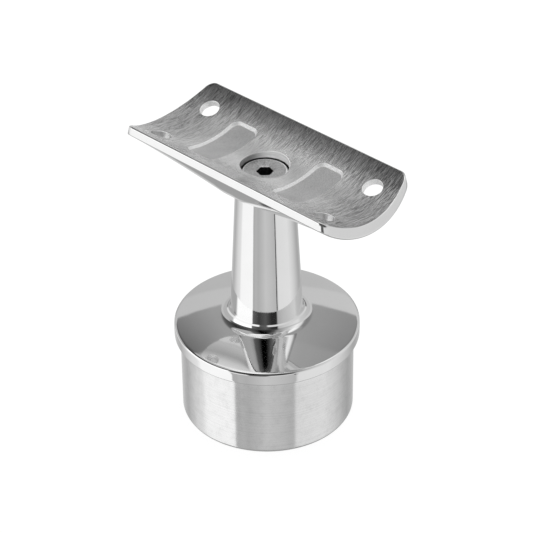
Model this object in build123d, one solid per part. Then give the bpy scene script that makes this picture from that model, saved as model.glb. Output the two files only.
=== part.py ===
from build123d import *
from math import asin, atan2, cos, degrees, radians, sin, sqrt, tan
import os

# Top saddle of a handrail post, for a round steel post tube and a round handrail, in millimetres.
# +Z is up and the handrail runs along X. The origin is the centre of the plug's bottom rim.
# Three pieces: the cast post cap, the cast saddle plate on its stem, and the screw between them.

# Post cap: the plug that drops into the tube, with a collar, a dome and a tapered stem above it
plug_diameter = 47.6
plug_height = 24.2
plug_wall = 3.0
plug_foot_round = 0.8
hollow_top_round = 3.0
collar_diameter = 50.8
collar_height = 3.7
collar_rim_round = 0.3
dome_rise = 2.4
stem_foot_diameter = 20.0
stem_foot_fillet = 3.2
stem_height = 37.9
stem_top_diameter = 16.1

# Saddle plate: a trough for the handrail, with a keel underneath that tapers to both ends
saddle_length = 70.0
saddle_width = 32.0
saddle_end_bulge = 1.6
saddle_corner_radius = 2.5
side_draft = 13.0
side_height = 2.5
seat_radius = 26.0
keel_thickness = 8.8
keel_flat_length = 6.0
end_thickness = 3.8

# Cast pockets in the trough, one each side of the screw
pocket_length = 9.2
pocket_width = 19.4
pocket_centre = 15.4
pocket_corner_radius = 2.3
pocket_depth = 0.7

# Holes for the screws that go up into the handrail, square to the seat and countersunk below
rail_hole_diameter = 5.4
rail_hole_spacing = 58.6
rail_hole_row_gap = 18.2
rail_hole_land = 1.8

# Countersunk screw with a hexagon socket, which holds the plate on the stem
head_diameter = 12.0
head_recess = 1.4
head_side_gap = 0.5
head_edge_chamfer = 0.25
countersink_angle = 90.0
socket_across_flats = 4.0
socket_depth = 2.6
socket_turn = 44.0
thread_diameter = 6.0
thread_clearance = 0.05
screw_length = 20.0
screw_tip_chamfer = 0.6
plate_hole_diameter = 6.6
thread_hole_spare = 3.0

# How far a cutting tool runs past the surface that it cuts
overrun = 1.0

# Heights and half widths that follow from the sizes above
collar_top = plug_height + collar_height
stem_foot = collar_top + dome_rise
keel_bottom = stem_foot + stem_height
seat_bottom = keel_bottom + keel_thickness
seat_axis = seat_bottom + seat_radius
half_length = saddle_length / 2
half_width = saddle_width / 2
side_top = seat_axis - sqrt(seat_radius**2 - half_width**2)
side_bottom = side_top - side_height
underside_half_width = half_width + side_height * tan(radians(side_draft))
head_top = seat_bottom - head_recess
screw_tip = head_top - screw_length


def turned(profile):
    """A solid of revolution about Z from a face drawn in the XZ plane."""
    return revolve(profile, axis=Axis.Z, revolution_arc=360)


def corner_near(face, radius, height):
    """The corner of a face in the XZ plane that is nearest to a radius and a height."""
    return min(face.vertices(), key=lambda corner: (Vector(radius, 0, height) - corner.center()).length)


def keel_section(x):
    """The plate's outline across X before the trough is cut: an arc below, with straight sides."""
    taper = (abs(x) - keel_flat_length / 2) / (half_length - keel_flat_length / 2)
    thickness = keel_thickness + (end_thickness - keel_thickness) * max(taper, 0)
    lowest = seat_bottom - thickness
    sagitta = side_bottom - lowest
    radius = (underside_half_width**2 + sagitta**2) / (2 * sagitta)
    # The arc runs on a little past the drafted sides, which trim it
    half_turn = atan2(underside_half_width, radius - sagitta) + overrun / radius
    outer_y = radius * sin(half_turn)
    outer_z = lowest + radius * (1 - cos(half_turn))
    top_z = side_top + 2 * overrun
    arc = ThreePointArc((x, -outer_y, outer_z), (x, 0, lowest), (x, outer_y, outer_z))
    sides = Polyline((x, outer_y, outer_z), (x, outer_y, top_z), (x, -outer_y, top_z), (x, -outer_y, outer_z))
    return Face(Wire([arc, *sides.edges()]))


def keel_blank():
    """The plate's body above its tapered underside, longer than the plate itself."""
    reach = half_length + saddle_end_bulge + keel_thickness * tan(radians(side_draft)) + overrun
    stations = (-reach, -keel_flat_length / 2, keel_flat_length / 2, reach)
    return loft([keel_section(x) for x in stations], ruled=True)


def plan_block():
    """The plate's outline from above, with bowed ends, drafted outwards from the top edge down."""
    tip = half_length + saddle_end_bulge
    outline = [
        Line((-half_length, half_width), (half_length, half_width)),
        ThreePointArc((half_length, half_width), (tip, 0), (half_length, -half_width)),
        Line((half_length, -half_width), (-half_length, -half_width)),
        ThreePointArc((-half_length, -half_width), (-tip, 0), (-half_length, half_width)),
    ]
    face = Face(Wire(outline))
    face = fillet(face.vertices(), saddle_corner_radius)
    face = Pos(0, 0, side_top) * face
    below = extrude(face, amount=keel_thickness + side_top - seat_bottom, dir=(0, 0, -1), taper=-side_draft)
    above = extrude(face, amount=overrun, dir=(0, 0, 1), taper=side_draft)
    return below + above


def trough(radius):
    """A cylinder along the handrail's axis."""
    return Pos(0, 0, seat_axis) * Rot(0, 90, 0) * Cylinder(radius, 2 * saddle_length)


def pocket(side):
    """A shallow cast pocket whose floor follows the trough."""
    outline = RectangleRounded(pocket_length, pocket_width, pocket_corner_radius)
    block = extrude(Pos(side * pocket_centre, 0, keel_bottom) * outline, amount=side_top - keel_bottom)
    return block & trough(seat_radius + pocket_depth)


def rail_hole(x, side):
    """A hole square to the seat, with a cylindrical land and a countersink from below."""
    radius = rail_hole_diameter / 2
    land_end = seat_radius + rail_hole_land
    cone_depth = keel_thickness
    shaft = Pos(0, 0, -land_end / 2) * Cylinder(radius, land_end)
    wide = radius + cone_depth * tan(radians(countersink_angle / 2))
    # The wide end of the cone is down, away from the handrail
    cone = Pos(0, 0, -land_end - cone_depth / 2) * Cone(wide, radius, cone_depth)
    lean = degrees(asin(rail_hole_row_gap / 2 / seat_radius))
    return Pos(x, 0, seat_axis) * Rot(side * lean, 0, 0) * (shaft + cone)


def head_seat():
    """The recess, countersink and clearance hole for the screw, as one turned cutting tool."""
    recess = head_diameter / 2 + head_side_gap
    bore = plate_hole_diameter / 2
    cone_end = head_top - (recess - bore) / tan(radians(countersink_angle / 2))
    floor = keel_bottom - overrun
    outline = [
        (0, side_top),
        (recess, side_top),
        (recess, head_top),
        (bore, cone_end),
        (bore, floor),
        (0, floor),
    ]
    return turned(make_face(Plane.XZ * Polyline(*outline, close=True)))


def saddle_plate():
    plate = keel_blank() & plan_block()
    plate -= trough(seat_radius)
    for side in (-1, 1):
        plate -= pocket(side)
        for end in (-1, 1):
            plate -= rail_hole(end * rail_hole_spacing / 2, side)
    return plate - head_seat()


def post_cap():
    plug_radius = plug_diameter / 2
    hollow_radius = plug_radius - plug_wall
    collar_radius = collar_diameter / 2
    foot_radius = stem_foot_diameter / 2
    rim = (collar_radius, collar_top)
    foot = (foot_radius, stem_foot)
    # The dome is part of a ball whose centre is on the axis, this far below the rim
    ball_depth = (collar_radius**2 - foot_radius**2 - dome_rise**2) / (2 * dome_rise)
    ball_radius = sqrt(collar_radius**2 + ball_depth**2)
    stem_top = (stem_top_diameter / 2, keel_bottom)
    stem_end = (stem_top_diameter / 2, seat_bottom)
    outer = Polyline((0, 0), (plug_radius, 0), (plug_radius, plug_height), (collar_radius, plug_height), rim)
    dome = RadiusArc(rim, foot, -ball_radius)
    inner = Polyline(foot, stem_top, stem_end, (0, seat_bottom), (0, 0))
    profile = Plane.XZ * make_face(outer.edges() + dome.edges() + inner.edges())
    profile = fillet(corner_near(profile, plug_radius, 0), plug_foot_round)
    profile = fillet(corner_near(profile, *rim), collar_rim_round)
    profile = fillet(corner_near(profile, *foot), stem_foot_fillet)
    cap = turned(profile) - keel_blank()

    # The plug is cast hollow, with the same wall on its side and under the collar's top
    hollow_top = collar_top - plug_wall
    corners = [(0, -overrun), (hollow_radius, -overrun), (hollow_radius, hollow_top), (0, hollow_top)]
    hollow = Plane.XZ * make_face(Polyline(*corners, close=True))
    cap -= turned(fillet(corner_near(hollow, hollow_radius, hollow_top), hollow_top_round))

    # The threaded hole in the stem ends a little below the screw's tip
    hole_bottom = screw_tip - thread_hole_spare
    hole_depth = seat_bottom - hole_bottom
    return cap - Pos(0, 0, hole_bottom + hole_depth / 2) * Cylinder(thread_diameter / 2, hole_depth)


def saddle_screw():
    head_radius = head_diameter / 2
    shank = thread_diameter / 2 - thread_clearance
    slope = tan(radians(countersink_angle / 2))
    cone_top = head_top - head_side_gap / slope
    cone_end = cone_top - (head_radius - shank) / slope
    outline = [
        (0, head_top),
        (head_radius - head_edge_chamfer, head_top),
        (head_radius, head_top - head_edge_chamfer),
        (head_radius, cone_top),
        (shank, cone_end),
        (shank, screw_tip + screw_tip_chamfer),
        (shank - screw_tip_chamfer, screw_tip),
        (0, screw_tip),
    ]
    screw = turned(make_face(Plane.XZ * Polyline(*outline, close=True)))
    hexagon = RegularPolygon(socket_across_flats / 2, 6, major_radius=False, rotation=socket_turn)
    socket = extrude(Pos(0, 0, head_top - socket_depth) * hexagon, amount=socket_depth + overrun)
    return screw - socket


os.makedirs("parts", exist_ok=True)
export_step(post_cap(), "parts/post_cap.step")
export_step(saddle_plate(), "parts/saddle_plate.step")
export_step(saddle_screw(), "parts/saddle_screw.step")
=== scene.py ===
import bmesh
import bpy
from math import asin, atan2, cos, hypot, pi, radians, sin, sqrt, tan
from mathutils import Matrix, Vector


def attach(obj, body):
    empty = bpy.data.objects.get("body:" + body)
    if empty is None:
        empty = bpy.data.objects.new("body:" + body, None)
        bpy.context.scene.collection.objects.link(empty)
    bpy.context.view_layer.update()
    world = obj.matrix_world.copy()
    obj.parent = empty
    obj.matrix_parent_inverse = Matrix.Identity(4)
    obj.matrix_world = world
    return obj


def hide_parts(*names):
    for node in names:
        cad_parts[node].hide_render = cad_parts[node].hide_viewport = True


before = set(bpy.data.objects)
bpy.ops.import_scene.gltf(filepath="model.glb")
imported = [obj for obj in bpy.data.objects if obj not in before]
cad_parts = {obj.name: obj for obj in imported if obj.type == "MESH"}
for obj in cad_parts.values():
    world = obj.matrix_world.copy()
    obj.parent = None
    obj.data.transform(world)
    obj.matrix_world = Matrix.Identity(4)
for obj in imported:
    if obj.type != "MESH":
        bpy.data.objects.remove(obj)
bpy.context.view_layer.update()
mm = 0.001  # sizes below are in millimetres, and a mesh is scaled by this when it is finished


# Node helpers

def addNode(tree, kind, **settings):
    node = tree.nodes.new(kind)
    for name, value in settings.items():
        setattr(node, name, value)
    return node


def feed(tree, socket, value):
    # A number is set in the socket itself, and anything else is linked to it
    if isinstance(value, (int, float)):
        socket.default_value = value
    else:
        tree.links.new(value, socket)


def calc(tree, operation, *values, clamp=False):
    node = addNode(tree, "ShaderNodeMath", operation=operation, use_clamp=clamp)
    for socket, value in zip(node.inputs, values):
        feed(tree, socket, value)
    return node.outputs[0]


def step(tree, value, low, high):
    node = addNode(tree, "ShaderNodeMapRange", interpolation_type="SMOOTHSTEP")
    tree.links.new(value, node.inputs["Value"])
    node.inputs["From Min"].default_value = low
    node.inputs["From Max"].default_value = high
    return node.outputs["Result"]


def mixValue(tree, factor, low, high):
    node = addNode(tree, "ShaderNodeMix", data_type="FLOAT")
    for index, value in zip((0, 2, 3), (factor, low, high)):
        feed(tree, node.inputs[index], value)
    return node.outputs[0]


def noise(tree, vector, grain, detail=2.0, roughness=0.5, turn=0.0):
    # The grain is a size in millimetres, or one for each axis; turn leans it about Z
    mapping = addNode(tree, "ShaderNodeMapping", vector_type="TEXTURE")
    sizes = grain if isinstance(grain, tuple) else (grain,) * 3
    mapping.inputs["Scale"].default_value = [size * mm for size in sizes]
    mapping.inputs["Rotation"].default_value = (0, 0, radians(turn))
    tree.links.new(vector, mapping.inputs["Vector"])
    node = addNode(tree, "ShaderNodeTexNoise")
    tree.links.new(mapping.outputs[0], node.inputs["Vector"])
    node.inputs["Scale"].default_value = 1.0
    node.inputs["Detail"].default_value = detail
    node.inputs["Roughness"].default_value = roughness
    return node.outputs["Fac"]


def splitAxes(tree, vector):
    node = addNode(tree, "ShaderNodeSeparateXYZ")
    tree.links.new(vector, node.inputs[0])
    return node.outputs


def bump(tree, height, distance, under=None):
    # The distance is in millimetres, and under is another bump that this one is added to
    node = addNode(tree, "ShaderNodeBump")
    node.inputs["Strength"].default_value = 1.0
    node.inputs["Distance"].default_value = distance * mm
    tree.links.new(height, node.inputs["Height"])
    if under:
        tree.links.new(under, node.inputs["Normal"])
    return node.outputs[0]


def steel(name):
    mat = bpy.data.materials.new(name)
    mat.use_nodes = True
    tree = mat.node_tree
    shader = tree.nodes["Principled BSDF"]
    shader.inputs["Metallic"].default_value = 1.0
    place = addNode(tree, "ShaderNodeTexCoord").outputs["Object"]
    return mat, tree, shader, place


# Finishes

def colour(tree, shader, shade):
    # Every finish is a grey, so one value makes all of its colour
    grey = addNode(tree, "ShaderNodeCombineColor")
    for socket in grey.inputs:
        tree.links.new(shade, socket)
    tree.links.new(grey.outputs[0], shader.inputs["Base Color"])


def polishedSteel(name, brightness, gloss):
    # Mirror polish with faint wiping marks
    mat, tree, shader, place = steel(name)
    cloud = noise(tree, place, 8.0, 3)
    hair = noise(tree, place, (0.6, 0.6, 9.0), 3)
    colour(tree, shader, mixValue(tree, cloud, brightness - 0.03, brightness + 0.03))
    tree.links.new(mixValue(tree, hair, gloss * 0.6, gloss * 1.5), shader.inputs["Roughness"])
    tree.links.new(bump(tree, noise(tree, place, 5.0, 1), 0.012), shader.inputs["Normal"])
    return mat


def turnedSteel():
    # Fine rings from the lathe, with scuffs
    mat, tree, shader, place = steel("turnedSteel")
    rings = noise(tree, place, (40.0, 40.0, 0.25), 4, 0.65)
    scuffs = step(tree, noise(tree, place, (2.2, 2.2, 3.0), 4, 0.7), 0.4, 0.75)
    lines = step(tree, noise(tree, place, (60.0, 60.0, 0.16), 2), 0.35, 0.65)
    shade = mixValue(tree, calc(tree, "MULTIPLY", scuffs, rings), 0.81, 0.65)
    colour(tree, shader, calc(tree, "MULTIPLY", shade, mixValue(tree, lines, 0.95, 1.02)))
    tree.links.new(mixValue(tree, rings, 0.09, 0.15), shader.inputs["Roughness"])
    tree.links.new(bump(tree, rings, 0.0015), shader.inputs["Normal"])
    return mat


def castSteel(name, low, high, metal=1.0, speckle=0.15):
    # Satin skin with fine specks; the less metal, the less it mirrors what stands around it
    mat, tree, shader, place = steel(name)
    shader.inputs["Metallic"].default_value = metal
    grain = noise(tree, place, 0.5, 4, 0.65)
    cloud = noise(tree, place, 4.0, 3)
    specks = step(tree, noise(tree, place, 0.25, 2, 0.6), 0.38, 0.6)
    shade = mixValue(tree, specks, 1 - speckle, 1 + speckle / 2)
    shade = calc(tree, "MULTIPLY", mixValue(tree, cloud, low, high), shade)
    colour(tree, shader, shade)
    tree.links.new(mixValue(tree, grain, 0.3, 0.42), shader.inputs["Roughness"])
    tree.links.new(bump(tree, grain, 0.03), shader.inputs["Normal"])
    return mat


grinding = {
    # Where the strokes deepen, from the middle towards both ends and towards the far side
    "ends": (16.0, 33.0),
    "farSide": (3.0, 13.0),
    "leastDepth": 0.15,
    # Where painted shade darkens the trough on the far side, and where painted light lightens it on the
    # near one
    "paintedFarShade": (7.0, 16.0),
    "paintedNearLight": (0.0, 9.0),
    # Width and length of the strokes, and how far they lean either way, in degrees
    "fineStroke": (0.09, 2.2),
    "coarseStroke": (0.12, 3.6),
    "lean": 4.0,
    "strokeBump": 0.05,
}


def groundSteel():
    # Strokes of the grinder across the trough, with painted shade on the far side and painted light on
    # the near side
    mat, tree, shader, place = steel("groundSteel")
    x, y = splitAxes(tree, place)[:2]

    def zone(value, name):
        low, high = grinding[name]
        return step(tree, value, low * mm, high * mm)

    def stroke(name, lean):
        width, length = grinding[name]
        return noise(tree, place, (width, length, length), 1, 0.5, lean)

    ends = zone(calc(tree, "ABSOLUTE", x), "ends")
    farSide = zone(y, "farSide")
    paintedFarShade = zone(y, "paintedFarShade")
    paintedNearLight = zone(calc(tree, "MULTIPLY", y, -1.0), "paintedNearLight")
    depth = calc(tree, "ADD", calc(tree, "MULTIPLY", ends, 0.6), calc(tree, "MULTIPLY", farSide, 0.6))
    depth = calc(tree, "ADD", depth, grinding["leastDepth"], clamp=True)
    fine, coarse = stroke("fineStroke", grinding["lean"]), stroke("coarseStroke", -grinding["lean"])
    strokes = step(tree, calc(tree, "MULTIPLY", calc(tree, "ADD", fine, coarse), 0.5), 0.45, 0.56)
    marks = calc(tree, "MULTIPLY", depth, strokes)
    shade = mixValue(tree, noise(tree, place, 5.0, 4, 0.6), 0.68, 0.88)
    # The far side's painted shade and the near side's painted light are multiplied in here with the marks
    for where, outside, inside in (
        (ends, 1.0, 0.86),
        (paintedFarShade, 1.0, 0.45),
        (paintedNearLight, 1.0, 1.12),
        (marks, 1.23, 0.28),
    ):
        shade = calc(tree, "MULTIPLY", shade, mixValue(tree, where, outside, inside))
    colour(tree, shader, shade)
    tree.links.new(mixValue(tree, strokes, 0.27, 0.17), shader.inputs["Roughness"])
    grain = bump(tree, noise(tree, place, 0.45, 3), 0.012)
    cut = bump(tree, marks, grinding["strokeBump"], under=grain)
    tree.links.new(cut, shader.inputs["Normal"])
    return mat


def boredSteel():
    # Wall of the screw's recess, with turned steps and painted light and shade: dark on one side and
    # bright on the other
    mat, tree, shader, place = steel("boredSteel")
    shader.inputs["Metallic"].default_value = 0.0
    x, y = splitAxes(tree, place)[:2]
    # Painted light and shade: lighter towards +X and +Y, darker the other way
    paintedLight = step(tree, calc(tree, "ADD", x, y), -6 * mm, 3 * mm)
    rings = step(tree, noise(tree, place, (9.0, 9.0, 0.2), 2), 0.35, 0.6)
    shade = calc(tree, "MULTIPLY", mixValue(tree, paintedLight, 0.22, 1.0), mixValue(tree, rings, 0.8, 1.0))
    colour(tree, shader, shade)
    tree.links.new(mixValue(tree, rings, 0.3, 0.45), shader.inputs["Roughness"])
    return mat


def socketShadeSteel():
    # Painted shade: a near-black finish for the inside of the hexagon socket and for the gap around the
    # screw's head
    mat, tree, shader, place = steel("socketShadeSteel")
    cloud = noise(tree, place, 0.6, 3)
    colour(tree, shader, mixValue(tree, cloud, 0.02, 0.2))
    tree.links.new(mixValue(tree, cloud, 0.3, 0.5), shader.inputs["Roughness"])
    return mat


# Mesh helpers

def arc(centre, radius, start, end, steps):
    turns = [start + (end - start) * i / steps for i in range(steps + 1)]
    return [(centre[0] + radius * cos(t), centre[1] + radius * sin(t)) for t in turns]


def rounded(corners, steps=5):
    # Each corner is (radius, height, rounding); a rounding of 0 keeps it sharp
    points = []
    for i, (r, z, rounding) in enumerate(corners):
        here = Vector((r, z))
        if not rounding:
            points.append(tuple(here))
            continue
        back = (Vector(corners[i - 1][:2]) - here).normalized()
        ahead = (Vector(corners[i + 1][:2]) - here).normalized()
        half = back.angle(ahead) / 2
        reach = rounding / tan(half)
        centre = here + (back + ahead).normalized() * rounding / sin(half)
        first, last = here + back * reach - centre, here + ahead * reach - centre
        a, b = atan2(first.y, first.x), atan2(last.y, last.x)
        if b - a > pi:
            b -= 2 * pi
        if a - b > pi:
            b += 2 * pi
        points += arc(centre, rounding, a, b, steps)
    return points


def spun(profile, steps):
    # Turns a profile of (radius, height) about Z and closes it at the seam and on the axis
    bm = bmesh.new()
    verts = [bm.verts.new((r, 0, z)) for r, z in profile]
    edges = [bm.edges.new(pair) for pair in zip(verts, verts[1:])]
    bmesh.ops.spin(
        bm, geom=verts + edges, cent=(0, 0, 0), axis=(0, 0, 1), angle=2 * pi, steps=steps, use_merge=True
    )
    bmesh.ops.remove_doubles(bm, verts=bm.verts, dist=1e-5)
    bmesh.ops.dissolve_degenerate(bm, edges=bm.edges, dist=1e-6)
    bmesh.ops.recalc_face_normals(bm, faces=bm.faces)
    return bm


def solidOf(bm, name):
    mesh = bpy.data.meshes.new(name)
    bm.to_mesh(mesh)
    bm.free()
    obj = bpy.data.objects.new(name, mesh)
    bpy.context.scene.collection.objects.link(obj)
    return obj


def finish(bm, name, node, finishes, pickFinish):
    # Shades the mesh, gives each face its finish and puts it in the place of its CAD node
    crease = radians(32)  # an edge that is bent further stays sharp
    order = list(finishes)
    for face in bm.faces:
        face.smooth = True
        face.material_index = order.index(pickFinish(face.calc_center_median(), face.normal))
    for edge in bm.edges:
        edge.smooth = len(edge.link_faces) == 2 and edge.calc_face_angle(0) < crease
    bmesh.ops.scale(bm, vec=(mm, mm, mm), verts=bm.verts)
    obj = solidOf(bm, name)
    for mat in finishes.values():
        obj.data.materials.append(mat)
    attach(obj, "root")
    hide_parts(node)
    print("made", name, len(obj.data.polygons), "faces")


# Saddle plate: a trough for the handrail over a keel that tapers to both ends

plate = {
    "length": 70.0,  # between the corners, along the top edge
    "width": 32.0,
    "endBulge": 1.6,
    "cornerRadius": 2.5,
    "sideDraft": 13.0,
    "sideHeight": 2.5,
    "seatBottom": 77.0,
    "seatRadius": 26.0,
    "keelThickness": 8.8,
    "keelFlat": 6.0,
    "endThickness": 3.8,
    "topEdgeRound": 0.4,
    "lowEdgeRound": 0.55,
    "polishedEdge": 0.35,  # beside the trough, along both long edges
    "rows": 64,
    "columns": 96,
    "pocketLength": 9.2,
    "pocketWidth": 19.4,
    "pocketCentre": 15.4,
    "pocketCorner": 2.3,
    "pocketDepth": 0.7,
    "pocketDraft": 34.0,
    "pocketRound": 0.2,
    "pocketOver": 1.0,  # how far the shape that cuts a pocket stands above the trough
    "pocketRows": 40,
    "pocketColumns": 12,
    "recessRadius": 6.5,
    "recessDepth": 1.4,
    "gapDepth": 0.9,  # around the screw's head
    "boreRadius": 3.3,
    "boreReach": 8.0,
    "railHoleRadius": 2.7,
    "railHoleSpacing": 58.6,
    "railHoleRowGap": 18.2,
    "railHoleLand": 1.8,
    "railSinkReach": 5.0,
    "nearHoleShade": -7.0,  # the near holes' walls get a darker finish up to this line, as painted shade
    "holeSteps": 64,
    "lip": 0.12,  # half the height of the small slope at each hole's mouth
}
seatAxis = plate["seatBottom"] + plate["seatRadius"]
halfWidth = plate["width"] / 2
sideTop = seatAxis - sqrt(plate["seatRadius"] ** 2 - halfWidth ** 2)
sideLow = sideTop - plate["sideHeight"]
sideSlope = tan(radians(plate["sideDraft"]))
undersideHalf = halfWidth + plate["sideHeight"] * sideSlope
railLean = asin(plate["railHoleRowGap"] / 2 / plate["seatRadius"])
nearby = 0.02  # a face counts as part of a surface at this distance


def seatHeight(x, y, deeper=0.0):
    # The trough is the same all along X
    return seatAxis - sqrt((plate["seatRadius"] + deeper) ** 2 - y * y)


def keelHeight(x, y):
    taper = (abs(x) - plate["keelFlat"] / 2) / (plate["length"] / 2 - plate["keelFlat"] / 2)
    lowest = plate["seatBottom"] - plate["keelThickness"]
    lowest += (plate["keelThickness"] - plate["endThickness"]) * max(taper, 0)
    rise = sideLow - lowest
    radius = (undersideHalf ** 2 + rise ** 2) / (2 * rise)
    return lowest + radius - sqrt(radius ** 2 - min(abs(y), undersideHalf) ** 2)


def padOutline(halfLength, halfAcross, bulge, corner):
    # Gives the half length at a distance from the middle line, and the way out of the outline there
    bow = (halfAcross ** 2 + bulge ** 2) / (2 * bulge) if bulge else 0
    bowX = halfLength + bulge - bow
    cornerY = halfAcross - corner
    cornerX = bowX + sqrt((bow - corner) ** 2 - cornerY ** 2) if bulge else halfLength - corner
    switch = cornerY * bow / (bow - corner) if bulge else cornerY

    def outline(y):
        side = 1 if y > 0 else -1
        if abs(y) > switch:
            turn = asin(min((abs(y) - cornerY) / corner, 1))
            return cornerX + corner * cos(turn), cos(turn), side * sin(turn)
        if bulge:
            turn = asin(y / bow)
            return bowX + bow * cos(turn), cos(turn), sin(turn)
        return halfLength, 1.0, 0.0
    return outline


def padSolid(outline, halfAcross, column, topHeight, lowHeight, rows, columns):
    # Two curved grids with the same rim, and the side wall between them
    rimAt = 0.9999  # a grid runs from -1 to 1 both ways

    def edgePoints(u, v):
        y = halfAcross * sin(v * pi / 2)
        x, outX, outY = outline(y)
        if abs(v) > rimAt:
            return column(Vector((u * x, y)), Vector((0, v / abs(v))))
        end = u / abs(u)
        return column(Vector((end * x, y)), Vector((end * outX, outY)))

    def layGrid(index, height):
        verts = bmesh.ops.create_grid(bm, x_segments=columns, y_segments=rows, size=1)["verts"]
        rim = {}
        for vert in verts:
            u, v = vert.co.xy
            if max(abs(u), abs(v)) > rimAt:
                rim[vert] = edgePoints(u, v)
                vert.co = rim[vert][index]
            else:
                end = edgePoints(1, v)[index]
                x, y = u * end.x, end.y
                vert.co = (x, y, height(x, y))
        return rim

    bm = bmesh.new()
    ring = layGrid(0, topHeight)
    edges = [e for e in bm.edges if e.is_boundary]
    for level in range(1, len(next(iter(ring.values())))):
        made = bmesh.ops.extrude_edge_only(bm, edges=edges)["geom"]
        fresh = {g for g in made if isinstance(g, bmesh.types.BMVert)}
        edges = [g for g in made if isinstance(g, bmesh.types.BMEdge) and set(g.verts) <= fresh]
        above = ring
        ring = {}
        for vert in fresh:
            source = next(e.other_vert(vert) for e in vert.link_edges if e.other_vert(vert) in above)
            ring[vert] = above[source]
            vert.co = ring[vert][level]
    layGrid(-1, lowHeight)
    bmesh.ops.remove_doubles(bm, verts=bm.verts, dist=1e-3)
    bmesh.ops.recalc_face_normals(bm, faces=bm.faces)
    return bm


def plateColumn(base, wayOut):
    # The drafted side at one place of the outline, with its rounded edges, from the top down
    inset = 1.0  # each rounding takes the surface's slope from a point this far in

    def meet(height):
        out = 0.0
        for attempt in range(12):  # each comes nearer to where the side meets the surface
            spot = base + wayOut * out
            z = height(spot.x, spot.y)
            out = (sideTop - z) * sideSlope
        inner = base + wayOut * (out - inset)
        return out, z, height(inner.x, inner.y)

    topOut, topZ, topInner = meet(seatHeight)
    lowOut, lowZ, lowInner = meet(keelHeight)
    corners = [
        (topOut - inset, topInner, 0),
        (topOut, topZ, plate["topEdgeRound"]),
        (lowOut, lowZ, plate["lowEdgeRound"]),
        (lowOut - inset, lowInner, 0),
    ]
    points = rounded(corners)[1:-1]
    return [(base + wayOut * out).to_3d() + Vector((0, 0, z)) for out, z in points]


def pocketColumn(base, wayOut):
    # The pocket's sloping wall at one place of its outline, from above the trough to the floor
    depth, over = plate["pocketDepth"], plate["pocketOver"]
    slope = tan(radians(plate["pocketDraft"]))
    corners = [(over * slope, over, 0), (-depth * slope, -depth, plate["pocketRound"]), (-2.0, -depth, 0)]
    points = []
    for out, z in rounded(corners)[:-1]:
        spot = base + wayOut * out
        seat = seatHeight(0, spot.y)
        down = seat - seatHeight(0, spot.y, depth)
        points.append(spot.to_3d() + Vector((0, 0, seat + z * down / depth)))
    return points


def pocketCutter(side):
    def roof(x, y):
        return 2 * seatHeight(x, y) - seatHeight(x, y, plate["pocketOver"])

    def floor(x, y):
        return seatHeight(x, y, plate["pocketDepth"])

    half = plate["pocketWidth"] / 2
    outline = padOutline(plate["pocketLength"] / 2, half, 0, plate["pocketCorner"])
    bm = padSolid(outline, half, pocketColumn, roof, floor, plate["pocketRows"], plate["pocketColumns"])
    bmesh.ops.translate(bm, vec=(side * plate["pocketCentre"], 0, 0), verts=bm.verts)
    return solidOf(bm, "pocketCutter")


def holeCutter(profile, x, lean):
    # The profile stands under the handrail's axis; its mouth follows the trough around the hole
    bm = spun([(0, profile[0][1])] + profile + [(0, profile[-1][1])], plate["holeSteps"])
    seat = plate["seatRadius"]
    mouth = -seat - 0.5
    for v in bm.verts:
        if v.co.z > mouth:
            v.co.z += seat - sqrt(seat ** 2 - v.co.y ** 2)
    bmesh.ops.rotate(bm, cent=(0, 0, 0), matrix=Matrix.Rotation(lean, 3, "X"), verts=bm.verts)
    bmesh.ops.translate(bm, vec=(x, 0, seatAxis), verts=bm.verts)
    return solidOf(bm, "holeCutter")


def cutWith(target, cutters):
    for cutter in cutters:
        mod = target.modifiers.new("cut", "BOOLEAN")
        mod.object = cutter
        mod.operation = "DIFFERENCE"
        mod.solver = "EXACT"
    bpy.context.view_layer.update()
    mesh = bpy.data.meshes.new_from_object(target.evaluated_get(bpy.context.evaluated_depsgraph_get()))
    bm = bmesh.new()
    bm.from_mesh(mesh)
    bpy.data.meshes.remove(mesh)
    for obj in [target, *cutters]:
        bpy.data.objects.remove(obj)
    bmesh.ops.remove_doubles(bm, verts=bm.verts, dist=1e-3)
    bmesh.ops.recalc_face_normals(bm, faces=bm.faces)
    return bm


def onRailHole(centre):
    # True on the walls of the rail holes and on their countersinks
    down = seatAxis - centre.z
    across = abs(centre.y) * cos(railLean) - down * sin(railLean)
    along = abs(centre.y) * sin(railLean) + down * cos(railLean)
    radius = hypot(abs(centre.x) - plate["railHoleSpacing"] / 2, across)
    radius -= max(along - plate["seatRadius"] - plate["railHoleLand"], 0)
    above = centre.z > keelHeight(centre.x, centre.y) + nearby
    return above and abs(radius - plate["railHoleRadius"]) < 2 * plate["lip"]


def platePlace(centre, normal):
    # Tells a face's place on the plate from its centre and the way it looks
    x, y = abs(centre.x), abs(centre.y)
    onTrough = centre.z > seatHeight(0, y) - nearby and normal.z > 0.5
    if onTrough and y < halfWidth - plate["polishedEdge"]:
        return "trough"
    if hypot(x, y) < plate["recessRadius"] + 2 * plate["lip"]:
        return "recess" if centre.z > plate["seatBottom"] - plate["recessDepth"] else "gap"
    if abs(x - plate["pocketCentre"]) < plate["pocketLength"] / 2 and y < halfWidth:
        if centre.z < seatHeight(0, y, plate["pocketDepth"] + plate["pocketRound"]):
            return "side"
        return "pocketFloor" if normal.z > 0.88 else "cutWall"
    if not onRailHole(centre):
        return "side"
    if normal.z < -0.38:
        return "railSink"
    # Near hole walls get a darker copy of the wall finish as painted shade; the others keep the lit one
    return "nearHole" if centre.y < plate["nearHoleShade"] else "cutWall"


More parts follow.
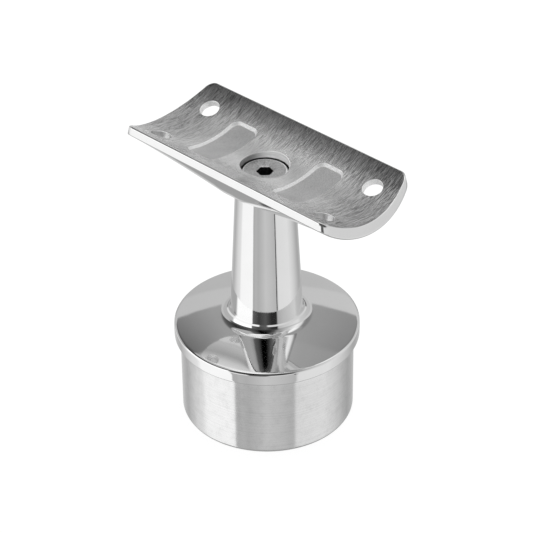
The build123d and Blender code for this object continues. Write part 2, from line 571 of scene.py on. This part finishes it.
def buildPlate():
    outline = padOutline(plate["length"] / 2, halfWidth, plate["endBulge"], plate["cornerRadius"])
    rows, columns = plate["rows"], plate["columns"]
    bm = padSolid(outline, halfWidth, plateColumn, seatHeight, keelHeight, rows, columns)
    body = solidOf(bm, "body")
    seat, lip = plate["seatRadius"], plate["lip"]

    # For the screw: recess, gap around the head, countersink and bore
    recess, bore = plate["recessRadius"], plate["boreRadius"]
    headLevel = -seat - plate["recessDepth"]
    gapFloor = headLevel - plate["gapDepth"]
    boreTop = headLevel - (recess - bore)
    cutters = [holeCutter([
        (recess + 2 * lip, lip - seat),
        (recess, -lip - seat),
        (recess, headLevel),
        (recess, gapFloor),
        (recess - plate["gapDepth"], gapFloor),
        (bore, boreTop),
        (bore, boreTop - plate["boreReach"]),
    ], 0, 0)]

    for side in (-1, 1):
        cutters.append(pocketCutter(side))

    # For each screw into the handrail: a hole square to the trough, countersunk from below
    hole, reach = plate["railHoleRadius"], plate["railSinkReach"]
    land = -seat - plate["railHoleLand"]
    profile = [
        (hole + 2 * lip, lip - seat),
        (hole, -lip - seat),
        (hole, land),
        (hole + reach, land - reach),
    ]
    for end in (-1, 1):
        for side in (-1, 1):
            cutters.append(holeCutter(profile, end * plate["railHoleSpacing"] / 2, side * railLean))

    finishes = {
        "trough": groundSteel(),
        "pocketFloor": castSteel("pocketSteel", 0.64, 0.84),
        "side": polishedSteel("sideSteel", 0.82, 0.07),
        # Cut walls get a near-white finish as painted light; the near holes get a darker copy as painted
        # shade
        "cutWall": castSteel("litWallSteel", 0.86, 0.94, 0.35),
        "gap": socketShadeSteel(),
        "nearHole": castSteel("shadedHoleSteel", 0.62, 0.76),
        "recess": boredSteel(),
        # The countersinks face down and get a darker copy of the wall finish as painted shade
        "railSink": castSteel("shadedSinkSteel", 0.62, 0.68, 0.35, 0.0),
    }
    finish(cutWith(body, cutters), "saddlePlate", "saddle_plate", finishes, platePlace)


# Post cap: hollow plug, collar, domed top and tapered stem, turned about one axis

cap = {
    "plugRadius": 23.8,
    "plugHeight": 24.2,
    "wall": 3.0,
    "footRound": 0.8,
    "hollowTopRound": 3.0,
    "reliefDepth": 0.05,
    "reliefHeight": 0.7,
    "reliefSlope": 0.15,
    "collarRadius": 25.4,
    "collarHeight": 3.7,
    "collarRound": 0.8,
    "edgeRound": 0.3,
    "domeRise": 2.4,
    "stemFootRadius": 10.0,
    "stemFillet": 3.2,
    "stemHeight": 37.9,
    "stemTopRadius": 8.05,
    "boreRadius": 3.0,
    "boreFloor": 52.6,
    "steps": 256,
    # Rings beside the rounded edges and up the stem, which keep the long faces evenly shaded
    "plugRing": 0.4,
    "collarRings": (0.7, 1.2),
    "stemRings": (0.15, 0.5, 2, 6, 12, 18, 24, 30),
    "topRings": (7, 5.5, 4.2),
    "topSpare": 5,
}


def capProfile():
    collarTop = cap["plugHeight"] + cap["collarHeight"]
    foot = Vector((cap["stemFootRadius"], collarTop + cap["domeRise"]))
    keelBottom = foot.y + cap["stemHeight"]
    # The dome is part of a ball centred on the axis
    rimSquare, footSquare = cap["collarRadius"] ** 2, foot.x ** 2
    ballDepth = (rimSquare - footSquare - cap["domeRise"] ** 2) / (2 * cap["domeRise"])
    ballRadius = sqrt(rimSquare + ballDepth ** 2)
    ball = Vector((0, collarTop - ballDepth))
    # The fillet touches the ball and the stem's straight side
    up = (Vector((cap["stemTopRadius"], keelBottom)) - foot).normalized()
    out = Vector((up.y, -up.x))
    fillet = cap["stemFillet"]
    start = foot + out * fillet - ball
    along = start.dot(up)
    slide = -along + sqrt(along ** 2 - start.length_squared + (ballRadius + fillet) ** 2)
    centre = start + up * slide + ball
    touch = centre - ball
    domeEnd = atan2(touch.y, touch.x)
    rimTurn = atan2(ballDepth, cap["collarRadius"])
    # The rim's rounding takes the place of the dome's first points, and the fillet of its last
    dome = arc(ball, ballRadius, rimTurn, domeEnd, 40)[3:-1]
    bend = arc(centre, fillet, domeEnd - pi, atan2(-out.y, -out.x), 24)
    stemStart = Vector(bend[-1])
    plug, plugTop, collar = cap["plugRadius"], cap["plugHeight"], cap["collarRadius"]
    hollow = plug - cap["wall"]
    hollowTop = collarTop - cap["wall"]
    relief = plug - cap["reliefDepth"]
    reliefStart = plugTop - cap["reliefHeight"]
    aboveFoot, underRim = cap["collarRings"]
    corners = [
        (0, hollowTop, 0),
        (hollow, hollowTop, cap["hollowTopRound"]),
        (hollow, 0, cap["edgeRound"]),
        (plug, 0, cap["footRound"]),
        (plug, cap["footRound"] + cap["plugRing"], 0),
        (plug, reliefStart - cap["plugRing"], 0),
        (plug, reliefStart, 0),
        (relief, reliefStart + cap["reliefSlope"], 0),
        (relief, plugTop, 0),
        (collar, plugTop, cap["edgeRound"]),
        (collar, plugTop + aboveFoot, 0),
        (collar, collarTop - underRim, 0),
        (collar, collarTop, cap["collarRound"]),
        (*dome[0], 0),
    ]
    profile = rounded(corners)[:-1] + dome + bend
    profile += [tuple(stemStart + up * ring) for ring in cap["stemRings"]]
    # The stem runs past the keel here, and buildCap lowers its top to the keel
    stemTop = keelBottom + cap["topSpare"]
    profile += [(cap["stemTopRadius"], keelBottom), (cap["stemTopRadius"], stemTop)]
    profile += [(ring, stemTop) for ring in cap["topRings"]]
    bore, boreFloor = cap["boreRadius"], cap["boreFloor"]
    profile += [(bore, stemTop), (bore, keelBottom - 1), (bore, boreFloor), (0, boreFloor)]
    return profile, keelBottom


def capPlace(centre, normal):
    # Tells a face's place on the cap; the collar's underside is turned like the plug
    radius = hypot(centre.x, centre.y)
    underDome = centre.z < cap["plugHeight"] + cap["collarHeight"] / 2
    onFoot = centre.z < 1 and normal.z < -0.9
    if radius < cap["plugRadius"] - cap["wall"] / 2 and underDome and not onFoot:
        return "hollow"
    if centre.z < cap["plugHeight"] + 0.05 and normal.z < 0.9:
        return "plug"
    return "polished"


def buildCap():
    profile, keelBottom = capProfile()
    bm = spun(profile, cap["steps"])
    for v in bm.verts:
        if v.co.z > keelBottom + 1:
            v.co.z = keelHeight(v.co.x, v.co.y) - 0.01  # the stem's top is shaped to the keel
    bmesh.ops.recalc_face_normals(bm, faces=bm.faces)
    finishes = {
        "polished": polishedSteel("mirrorSteel", 0.83, 0.045),
        "plug": turnedSteel(),
        "hollow": castSteel("hollowSteel", 0.42, 0.58),
    }
    finish(bm, "postCap", "post_cap", finishes, capPlace)


# Screw: countersunk head with a hexagon socket, and its thread

screw = {
    "headTop": 75.6,
    "headRadius": 6.0,
    "headEdge": 0.5,
    "rimWidth": 0.45,
    "rimFall": 0.1575,
    "socketHalfAcross": 2.0,
    "socketDepth": 2.6,
    "socketTurn": 44.0,
    "socketChamfer": 0.2,
    "threadRadius": 2.95,
    "threadDepth": 0.5,
    "pitch": 1.0,
    "ringsPerTurn": 8,
    "length": 20.0,
    "tipChamfer": 0.6,
    "steps": 96,
}


def screwPlace(centre, normal):
    # Tells a face's place on the screw from its centre and the way it looks
    radius = hypot(centre.x, centre.y)
    if radius > screw["headRadius"] - screw["rimWidth"]:
        return "rim"
    socketReach = screw["socketHalfAcross"] / cos(pi / 6) + 0.01
    inSocket = radius < socketReach and centre.z > screw["headTop"] - screw["socketDepth"] - 0.1
    onChamfer = normal.z > 0.9 and centre.z > screw["headTop"] - 1
    return "socket" if inSocket and not onChamfer else "body"


def buildScrew():
    top, head, thread = screw["headTop"], screw["headRadius"], screw["threadRadius"]
    flat, floor = screw["socketHalfAcross"], top - screw["socketDepth"]
    rim, coneTop = head - screw["rimWidth"], top - screw["headEdge"]
    coneEnd = coneTop - (head - thread)
    tip = top - screw["length"]
    threadLow = tip + screw["tipChamfer"]
    mouth = flat / cos(pi / 6) + screw["socketChamfer"]
    beside = 0.05  # a ring this near to an edge keeps the face next to it flat
    profile = [(0, floor), (flat, floor), (flat, top - screw["socketChamfer"]), (mouth, top)]
    profile += [(rim - beside, top), (rim, top), (head - beside, top - screw["rimFall"]), (head, coneTop)]
    rings = round((coneEnd - threadLow) / screw["pitch"] * screw["ringsPerTurn"])
    profile += [(thread, coneEnd + (threadLow - coneEnd) * i / rings) for i in range(rings + 1)]
    profile += [(thread - screw["tipChamfer"], tip), (0, tip)]
    bm = spun(profile, screw["steps"])
    for v in bm.verts:
        turn = atan2(v.co.y, v.co.x)
        radius = hypot(v.co.x, v.co.y)
        scale = 1
        if abs(radius - flat) < 1e-3 and v.co.z > floor - 0.1:
            scale = 1 / cos(turn % (pi / 3) - pi / 6)  # the round hole becomes a hexagon
        if abs(radius - thread) < 1e-3 and threadLow + 0.1 < v.co.z < coneEnd - 0.5:
            phase = (v.co.z / screw["pitch"] - turn / (2 * pi)) % 1
            scale = 1 - screw["threadDepth"] / thread * abs(2 * phase - 1)
        v.co.x, v.co.y = v.co.x * scale, v.co.y * scale
    spin = Matrix.Rotation(radians(screw["socketTurn"]), 3, "Z")
    bmesh.ops.rotate(bm, cent=(0, 0, 0), matrix=spin, verts=bm.verts)
    bmesh.ops.recalc_face_normals(bm, faces=bm.faces)
    finishes = {
        "body": castSteel("screwSteel", 0.62, 0.76, 1.0, 0.3),
        "socket": socketShadeSteel(),
        # The rim's near-white, low-metal finish is a painted highlight
        "rim": castSteel("litRimSteel", 0.95, 1.0, 0.3, 0.0),
    }
    finish(bm, "saddleScrew", "saddle_screw", finishes, screwPlace)


# Studio: what the polished steel mirrors, the floor and the camera

studio = {
    # What stands around the object, as (azimuth, brightness) all the way round from -180 to 180
    "tableRing": [
        (-180, 0.44), (-165, 0.5), (-145, 0.6), (-125, 0.68), (-105, 0.54), (-92, 0.48), (-80, 0.62),
        (-66, 0.8), (-54, 0.88), (-47, 1.1), (-1, 1.12), (0, 0.5), (6, 0.5), (8, 0.54), (18, 0.5),
        (30, 0.57), (42, 0.65), (60, 0.6), (79, 0.52), (82, 0.84), (125, 0.87), (146, 0.72),
        (165, 0.54), (175, 0.46), (180, 0.44),
    ],
    "skirtRing": [
        (-180, 0.75), (-168, 0.75), (-164, 0.2), (-152, 0.16), (-148, 0.85), (-128, 0.8), (-124, 0.38),
        (-108, 0.3), (-104, 0.8), (-66, 0.9), (-57, 1.12), (20, 1.12), (24, 0.12), (42, 0.12),
        (48, 0.82), (110, 0.76), (150, 0.73), (180, 0.75),
    ],
    "wallRing": [
        (-180, 0.6), (-150, 0.58), (-110, 0.52), (-66, 0.52), (-57, 1.4), (-1, 1.4), (1, 0.16),
        (20, 0.06), (40, 0.12), (58, 0.03), (73, 0.03), (77, 0.55), (95, 0.68), (140, 0.85), (150, 0.7),
        (180, 0.6),
    ],
    "shelfRing": [
        (-180, 0.7), (-136, 0.62), (-80, 0.56), (-70, 0.12), (74, 0.05), (82, 0.4), (140, 0.7),
        (180, 0.7),
    ],
    "ceilingRing": [
        (-180, 0.25), (-163, 0.26), (-157, 0.3), (-150, 0.35), (-144, 0.38), (-136, 0.4), (-124, 0.38),
        (-119, 0.29), (-115, 0.22), (-111, 0.15), (-98, 0.1), (-84, 0.08), (-60, 0.03), (-30, 0.06),
        (-8, 0.1), (6, 0.06), (22, 0.0), (52, 0.03), (66, 0.1), (78, 0.3), (106, 0.6), (140, 1.0),
        (160, 0.8), (172, 0.3), (180, 0.25),
    ],
    "upperRing": [
        (-180, 0.34), (-158, 0.35), (-148, 0.38), (-138, 0.46), (-128, 0.54), (-104, 0.54), (-80, 0.45),
        (-30, 0.5), (-16, 0.4), (-8, 0.13), (8, 0.08), (22, 0.0), (40, 0.0), (52, 0.05), (66, 0.15),
        (78, 0.36), (93, 0.26), (106, 0.7), (124, 0.6), (140, 1.15), (158, 1.0), (172, 0.45),
        (180, 0.34),
    ],
    # Elevations at which each ring gives way to the next
    "tableEdge": (-49, -46),
    "skirtEdge": (-23, -20),
    "horizon": (-3, 1),
    "cardTop": (21, 23),
    "wallTop": (30.4, 31.6),
    "upperEdge": (48, 51),
    "ceilingTop": (66, 74),
    "nearFloor": 0.4,
    "zenith": 1.2,
    "slat": {"azimuth": 77.0, "halfWidth": 1.2, "low": -32, "high": -22},  # a thin dark upright
    "floorSize": 6.0,  # metres
    "floorGlow": 0.86,
    "floorColor": 0.2,
}
camera = {
    # Millimetres and degrees; the azimuth is counted from the near side towards the right
    "distance": 572.99,
    "azimuth": 44.107,
    "elevation": 34.712,
    "roll": -0.777,
    "aim": (0.055, 0.054, 45.117),
    "lens": 143.86,
}


def ringValue(tree, turn, ring):
    # Reads a ring's brightness, where turn runs from 0 to 1 around the object
    ramp = addNode(tree, "ShaderNodeValToRGB")
    stops = ramp.color_ramp.elements
    for i, (azimuth, value) in enumerate(ring):
        stop = stops[i] if i < 2 else stops.new(1)
        stop.position = azimuth / 360 + 0.5
        stop.color = (value, value, value, 1)
    tree.links.new(turn, ramp.inputs[0])
    grey = addNode(tree, "ShaderNodeSeparateColor")
    tree.links.new(ramp.outputs[0], grey.inputs[0])
    return grey.outputs[0]


def setWorld():
    world = bpy.data.worlds.new("studioWorld")
    world.use_nodes = True
    tree = world.node_tree
    tree.nodes.clear()
    direction = addNode(tree, "ShaderNodeTexCoord").outputs["Generated"]
    x, y, z = splitAxes(tree, direction)
    elevation = calc(tree, "MULTIPLY", calc(tree, "ARCSINE", z), 180 / pi)
    azimuth = calc(tree, "MULTIPLY", calc(tree, "ARCTAN2", x, calc(tree, "MULTIPLY", y, -1.0)), 180 / pi)
    turn = calc(tree, "ADD", calc(tree, "DIVIDE", azimuth, 360), 0.5)
    seen = studio["nearFloor"]
    rings = (
        ("tableRing", "tableEdge"), ("skirtRing", "skirtEdge"), ("wallRing", "horizon"),
        ("shelfRing", "cardTop"), ("ceilingRing", "wallTop"), ("upperRing", "upperEdge"),
    )
    for ring, edge in rings:
        above = step(tree, elevation, *studio[edge])
        seen = mixValue(tree, above, seen, ringValue(tree, turn, studio[ring]))
    seen = mixValue(tree, step(tree, elevation, *studio["ceilingTop"]), seen, studio["zenith"])
    slat = studio["slat"]
    away = calc(tree, "ABSOLUTE", calc(tree, "SUBTRACT", azimuth, slat["azimuth"]))
    dark = calc(tree, "LESS_THAN", away, slat["halfWidth"])
    dark = calc(tree, "MULTIPLY", dark, calc(tree, "GREATER_THAN", elevation, slat["low"]))
    dark = calc(tree, "MULTIPLY", dark, calc(tree, "LESS_THAN", elevation, slat["high"]))
    seen = mixValue(tree, dark, seen, 0.0)
    path = addNode(tree, "ShaderNodeLightPath").outputs
    strength = mixValue(tree, path["Is Glossy Ray"], 1.0, seen)  # only mirrors show the rings
    background = addNode(tree, "ShaderNodeBackground")
    background.inputs["Color"].default_value = (1, 1, 1, 1)
    tree.links.new(strength, background.inputs["Strength"])
    tree.links.new(background.outputs[0], addNode(tree, "ShaderNodeOutputWorld").inputs[0])
    bpy.context.scene.world = world


def setFloor():
    bpy.ops.mesh.primitive_plane_add(size=studio["floorSize"])
    floor = bpy.context.object
    floor.name = "floor"
    floor.visible_glossy = False
    mat = bpy.data.materials.new("paleFloor")
    mat.use_nodes = True
    tree = mat.node_tree
    shader = tree.nodes["Principled BSDF"]
    shader.inputs["Base Color"].default_value = (studio["floorColor"],) * 3 + (1,)
    shader.inputs["Roughness"].default_value = 1.0
    shader.inputs["Specular IOR Level"].default_value = 0.0
    shader.inputs["Emission Color"].default_value = (1, 1, 1, 1)
    shader.inputs["Emission Strength"].default_value = studio["floorGlow"]
    floor.data.materials.append(mat)


def setCamera():
    a, e = radians(camera["azimuth"]), radians(camera["elevation"])
    back = Vector((sin(a) * cos(e), -cos(a) * cos(e), sin(e)))
    right = Vector((cos(a), sin(a), 0))
    up = back.cross(right)
    data = bpy.data.cameras.new("camera")
    data.lens = camera["lens"]
    data.clip_start, data.clip_end = 0.01, 20
    obj = bpy.data.objects.new("camera", data)
    place = (Vector(camera["aim"]) + back * camera["distance"]) * mm
    roll = Matrix.Rotation(radians(camera["roll"]), 4, "Z")
    turn = Matrix((right, up, back)).transposed().to_4x4() @ roll
    obj.matrix_world = Matrix.Translation(place) @ turn
    bpy.context.scene.collection.objects.link(obj)
    bpy.context.scene.camera = obj


buildCap()
buildPlate()
buildScrew()
setWorld()
setFloor()
setCamera()
bpy.context.scene.view_settings.view_transform = "Standard"
print("studio and camera ready")
